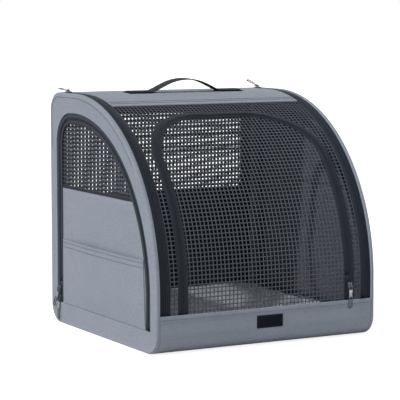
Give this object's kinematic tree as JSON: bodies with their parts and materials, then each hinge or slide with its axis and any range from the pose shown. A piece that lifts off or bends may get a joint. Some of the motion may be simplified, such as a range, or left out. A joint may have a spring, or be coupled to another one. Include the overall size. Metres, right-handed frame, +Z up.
{
  "type": "dog travel crate",
  "caption": "Soft-sided travel crate for a small dog with a curved net front, zipped doors, a back window and a top handle.",
  "frame": {"origin": "on the floor under the middle of the crate's outline", "axes": "+Z up, the curved front with its door faces -Y, +X is the crate's left-hand side seen from behind"},
  "size_m": [0.4824, 0.4662, 0.4854],
  "materials": {
    "grey_cloth": "plain weave polyester, matt",
    "net": "square knotted net, dark grey",
    "zip": "fine woven tape with a nylon coil, matt black",
    "webbing": "woven webbing, satin",
    "black_patch": "coated cloth, matt",
    "board": "hollow plastic board",
    "mat_fleece": "short pile fleece",
    "spring_steel": "bare spring strip",
    "zip_metal": "satin nickel plate"
  },
  "bodies": {
    "root": {"bottom_cover": "grey_cloth", "front_band": "grey_cloth", "label_patch": "black_patch", "back_panel": "grey_cloth", "back_window_binding": "webbing", "back_window_net": "net", "top_panel": "grey_cloth", "top_board": "board", "handle_strap": "webbing", "handle_patch_left": "black_patch", "handle_patch_right": "black_patch", "base_board": "board", "floor_mat": "mat_fleece", "front_surround": "net", "front_zip_fixed": "zip", "side_panel_left": "grey_cloth", "side_panel_right": "grey_cloth", "side_hoop_left": "spring_steel", "side_hoop_right": "spring_steel", "arc_zip_left": "zip", "arc_zip_right": "zip", "side_zip_fixed_left": "zip", "side_zip_fixed_right": "zip"},
    "front_door": {"front_door_net": "net", "front_zip_door": "zip", "front_zip_door_coil": "zip"},
    "front_slider": {"front_slider": "zip_metal"},
    "front_pull": {"front_pull": "zip_metal"},
    "side_door_left": {"side_door_panel_left": "grey_cloth", "side_door_net_left": "net", "side_zip_door_left": "zip", "side_zip_door_coil_left": "zip", "side_pocket_left": "grey_cloth"},
    "arc_slider_left": {"arc_slider_left": "zip_metal"},
    "arc_pull_left": {"arc_pull_left": "zip_metal"},
    "side_lower_slider_left": {"side_lower_slider_left": "zip_metal"},
    "side_lower_pull_left": {"side_lower_pull_left": "zip_metal"},
    "side_upper_slider_left": {"side_upper_slider_left": "zip_metal"},
    "side_upper_pull_left": {"side_upper_pull_left": "zip_metal"},
    "side_door_right": {"side_door_panel_right": "grey_cloth", "side_door_net_right": "net", "side_zip_door_right": "zip", "side_zip_door_coil_right": "zip", "side_pocket_right": "grey_cloth"},
    "arc_slider_right": {"arc_slider_right": "zip_metal"},
    "arc_pull_right": {"arc_pull_right": "zip_metal"},
    "side_lower_slider_right": {"side_lower_slider_right": "zip_metal"},
    "side_lower_pull_right": {"side_lower_pull_right": "zip_metal"},
    "side_upper_slider_right": {"side_upper_slider_right": "zip_metal"},
    "side_upper_pull_right": {"side_upper_pull_right": "zip_metal"}
  },
  "joints": [
    {"name": "front_door", "type": "hinge", "parent": "root", "child": "front_door", "pos_m": [0, -0.23, 0.073], "axis": [1, 0, 0], "range_deg": [0, 115]},
    {"name": "front_slider", "type": "hinge", "parent": "root", "child": "front_slider", "pos_m": [0.179, 0.12, 0.11], "axis": [-1, 0, 0], "range_deg": [0, 33]},
    {"name": "front_pull", "type": "hinge", "parent": "front_slider", "child": "front_pull", "pos_m": [0.179, -0.23345, 0.1006], "axis": [-1, 0, 0], "range_deg": [0, 150]},
    {"name": "side_door_left", "type": "hinge", "parent": "root", "child": "side_door_left", "pos_m": [-0.235, 0, 0.042], "axis": [0, -1, 0], "range_deg": [0, 92]},
    {"name": "arc_slider_left", "type": "slide", "parent": "root", "child": "arc_slider_left", "axis": [0, -1, 0], "range_m": [0, 0.055]},
    {"name": "arc_pull_left", "type": "hinge", "parent": "arc_slider_left", "child": "arc_pull_left", "pos_m": [-0.2165, 0.1814, 0.46345], "axis": [1, 0, 0], "range_deg": [0, 135]},
    {"name": "side_lower_slider_left", "type": "slide", "parent": "root", "child": "side_lower_slider_left", "axis": [0, 0, 1], "range_m": [0, 0.12]},
    {"name": "side_upper_slider_left", "type": "slide", "parent": "side_lower_slider_left", "child": "side_upper_slider_left", "axis": [0, 0, 1], "range_m": [0, 0.16]},
    {"name": "side_lower_pull_left", "type": "hinge", "parent": "side_lower_slider_left", "child": "side_lower_pull_left", "pos_m": [-0.23845, 0.189, 0.0506], "axis": [0, 1, 0], "range_deg": [0, 125]},
    {"name": "side_upper_pull_left", "type": "hinge", "parent": "side_upper_slider_left", "child": "side_upper_pull_left", "pos_m": [-0.23845, 0.189, 0.0686], "axis": [0, 1, 0], "range_deg": [0, 150]},
    {"name": "side_door_right", "type": "hinge", "parent": "root", "child": "side_door_right", "pos_m": [0.235, 0, 0.042], "axis": [0, 1, 0], "range_deg": [0, 92]},
    {"name": "arc_slider_right", "type": "slide", "parent": "root", "child": "arc_slider_right", "axis": [0, -1, 0], "range_m": [0, 0.055]},
    {"name": "arc_pull_right", "type": "hinge", "parent": "arc_slider_right", "child": "arc_pull_right", "pos_m": [0.2165, 0.1814, 0.46345], "axis": [1, 0, 0], "range_deg": [0, 135]},
    {"name": "side_lower_slider_right", "type": "slide", "parent": "root", "child": "side_lower_slider_right", "axis": [0, 0, 1], "range_m": [0, 0.12]},
    {"name": "side_upper_slider_right", "type": "slide", "parent": "side_lower_slider_right", "child": "side_upper_slider_right", "axis": [0, 0, 1], "range_m": [0, 0.16]},
    {"name": "side_lower_pull_right", "type": "hinge", "parent": "side_lower_slider_right", "child": "side_lower_pull_right", "pos_m": [0.23845, 0.189, 0.0506], "axis": [0, -1, 0], "range_deg": [0, 125]},
    {"name": "side_upper_pull_right", "type": "hinge", "parent": "side_upper_slider_right", "child": "side_upper_pull_right", "pos_m": [0.23845, 0.189, 0.0686], "axis": [0, -1, 0], "range_deg": [0, 150]}
  ]
}
